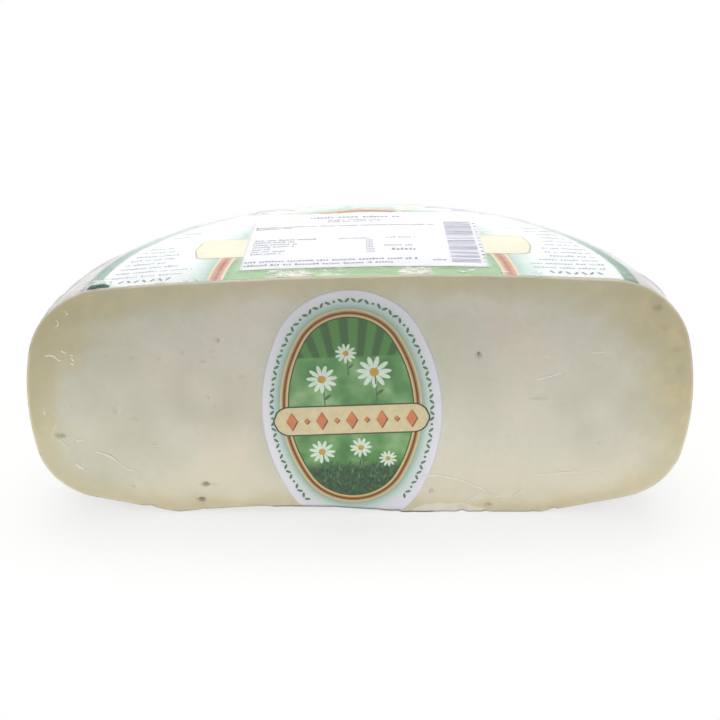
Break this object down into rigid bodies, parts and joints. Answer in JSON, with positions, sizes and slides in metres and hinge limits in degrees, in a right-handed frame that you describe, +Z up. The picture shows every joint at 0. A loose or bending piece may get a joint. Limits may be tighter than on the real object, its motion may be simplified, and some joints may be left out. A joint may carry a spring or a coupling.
{
  "type": "half wheel of goat cheese",
  "caption": "Half wheel of pale goat cheese with a waxy cream rind, cut side forward, in tight clear film, with a round label on top, a weigh label on that and an oval label on the cut",
  "frame": {"origin": "middle of the bounding box in X and Y, on the surface that the cheese stands on", "axes": "+Z up; +X along the cut face, to the right of someone who looks at it; +Y away from the cut face, towards the round back of the half wheel"},
  "size_m": [0.268, 0.1342, 0.1069],
  "materials": {
    "cheese": null,
    "printed_label": "smooth printed label in greens, cream and orange, under film",
    "thermal_label": "white thermal paper with small grey print"
  },
  "bodies": {
    "root": {"cheese": "cheese", "wheel_label": "printed_label", "weigh_label": "thermal_label", "face_label": "printed_label"}
  },
  "joints": []
}
